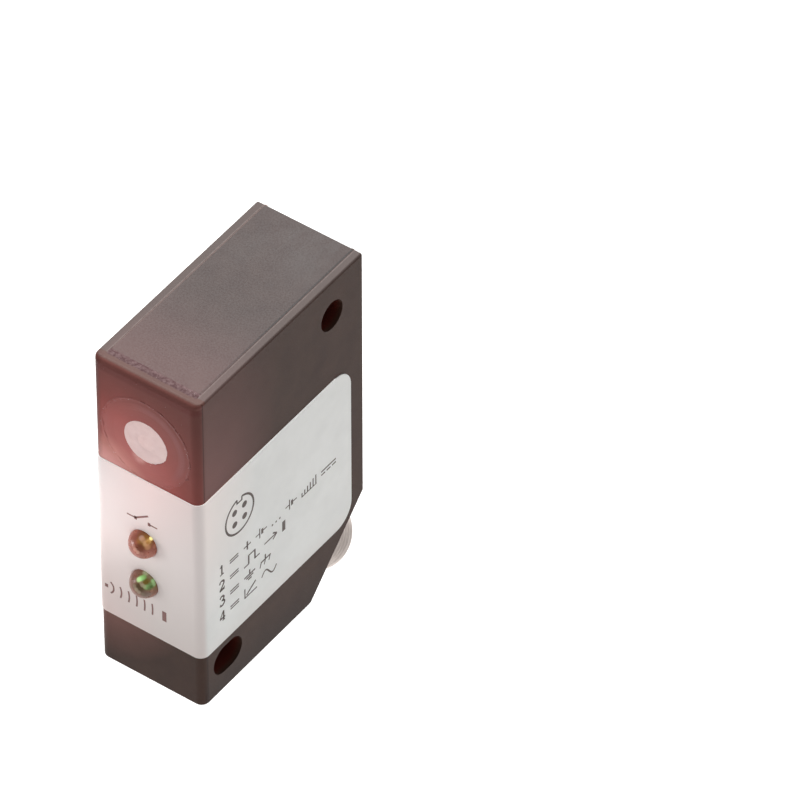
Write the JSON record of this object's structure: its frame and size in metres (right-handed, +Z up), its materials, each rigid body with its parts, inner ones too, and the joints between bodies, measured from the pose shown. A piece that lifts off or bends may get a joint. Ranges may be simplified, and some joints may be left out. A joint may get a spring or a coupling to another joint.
{
  "type": "ultrasonic sensor",
  "caption": "Flat block ultrasonic distance sensor with a round sound port, two indicator lamps, through holes for fixing and a threaded round plug on its bevelled rear corner.",
  "frame": {"origin": "middle of the upper fixing hole, halfway across the width", "axes": "+Z up along the height, +X across the width along the fixing hole, +Y towards the back; sound leaves towards -Y"},
  "size_m": [0.0204, 0.0502, 0.0721],
  "materials": {
    "housing_plastic": "moulded, fine grain",
    "cover_plastic": "moulded, fine grain, slightly greyer",
    "dark_adhesive": "set resin bead, uneven",
    "label_film": "printed film, satin",
    "cup_plastic": "turned face, fine rings",
    "matching_resin": "filled resin, matt",
    "piezo_ceramic": "fired, silvered faces",
    "absorber_foam": "filled foam",
    "silicone": "soft cast",
    "potting_resin": "cast resin",
    "lead_red": "lead insulation",
    "amber_lens": "clear tinted resin",
    "green_lens": "clear tinted resin",
    "tinned_metal": "tinned",
    "spacer_plastic": "moulded",
    "board_laminate": "solder mask",
    "ferrite": "ground ferrite",
    "copper_winding": "enamelled wire",
    "capacitor_can": "drawn can",
    "chip_resin": "moulded, tinned legs",
    "crystal_can": "drawn can",
    "chip_ceramic": "fired",
    "nickel_plate": "nickel plate on turned brass, satin",
    "seal_rubber": "moulded ring",
    "carrier_plastic": "moulded",
    "gold_contact": "gold plate",
    "lead_brown": "lead insulation",
    "lead_white": "lead insulation",
    "lead_blue": "lead insulation",
    "lead_black": "lead insulation"
  },
  "bodies": {
    "root": {"housing": "housing_plastic", "cover": "cover_plastic", "cover_adhesive": "dark_adhesive", "transducer_adhesive": "dark_adhesive", "label": "label_film", "transducer_cup": "cup_plastic", "matching_layer": "matching_resin", "piezo_disc": "piezo_ceramic", "backing_absorber": "absorber_foam", "decoupling_sleeve": "silicone", "transducer_potting": "potting_resin", "plug_potting": "potting_resin", "transducer_leads": "lead_red", "led_output": "amber_lens", "led_echo": "green_lens", "led_output_legs": "tinned_metal", "led_echo_legs": "tinned_metal", "led_spacer": "spacer_plastic", "main_board": "board_laminate", "transformer_core": "ferrite", "transformer_winding": "copper_winding", "transformer_base": "spacer_plastic", "storage_capacitor_1": "capacitor_can", "storage_capacitor_2": "capacitor_can", "voltage_regulator": "chip_resin", "microcontroller": "chip_resin", "receive_amplifier": "chip_resin", "protection_diode": "chip_resin", "crystal": "crystal_can", "small_chips": "chip_ceramic", "plug_shell": "nickel_plate", "lock_nut": "nickel_plate", "shell_seal": "seal_rubber", "contact_carrier": "carrier_plastic", "contact_pin_1": "gold_contact", "contact_pin_2": "gold_contact", "contact_pin_3": "gold_contact", "contact_pin_4": "gold_contact", "plug_lead_1": "lead_brown", "plug_lead_2": "lead_white", "plug_lead_3": "lead_blue", "plug_lead_4": "lead_black"}
  },
  "joints": []
}
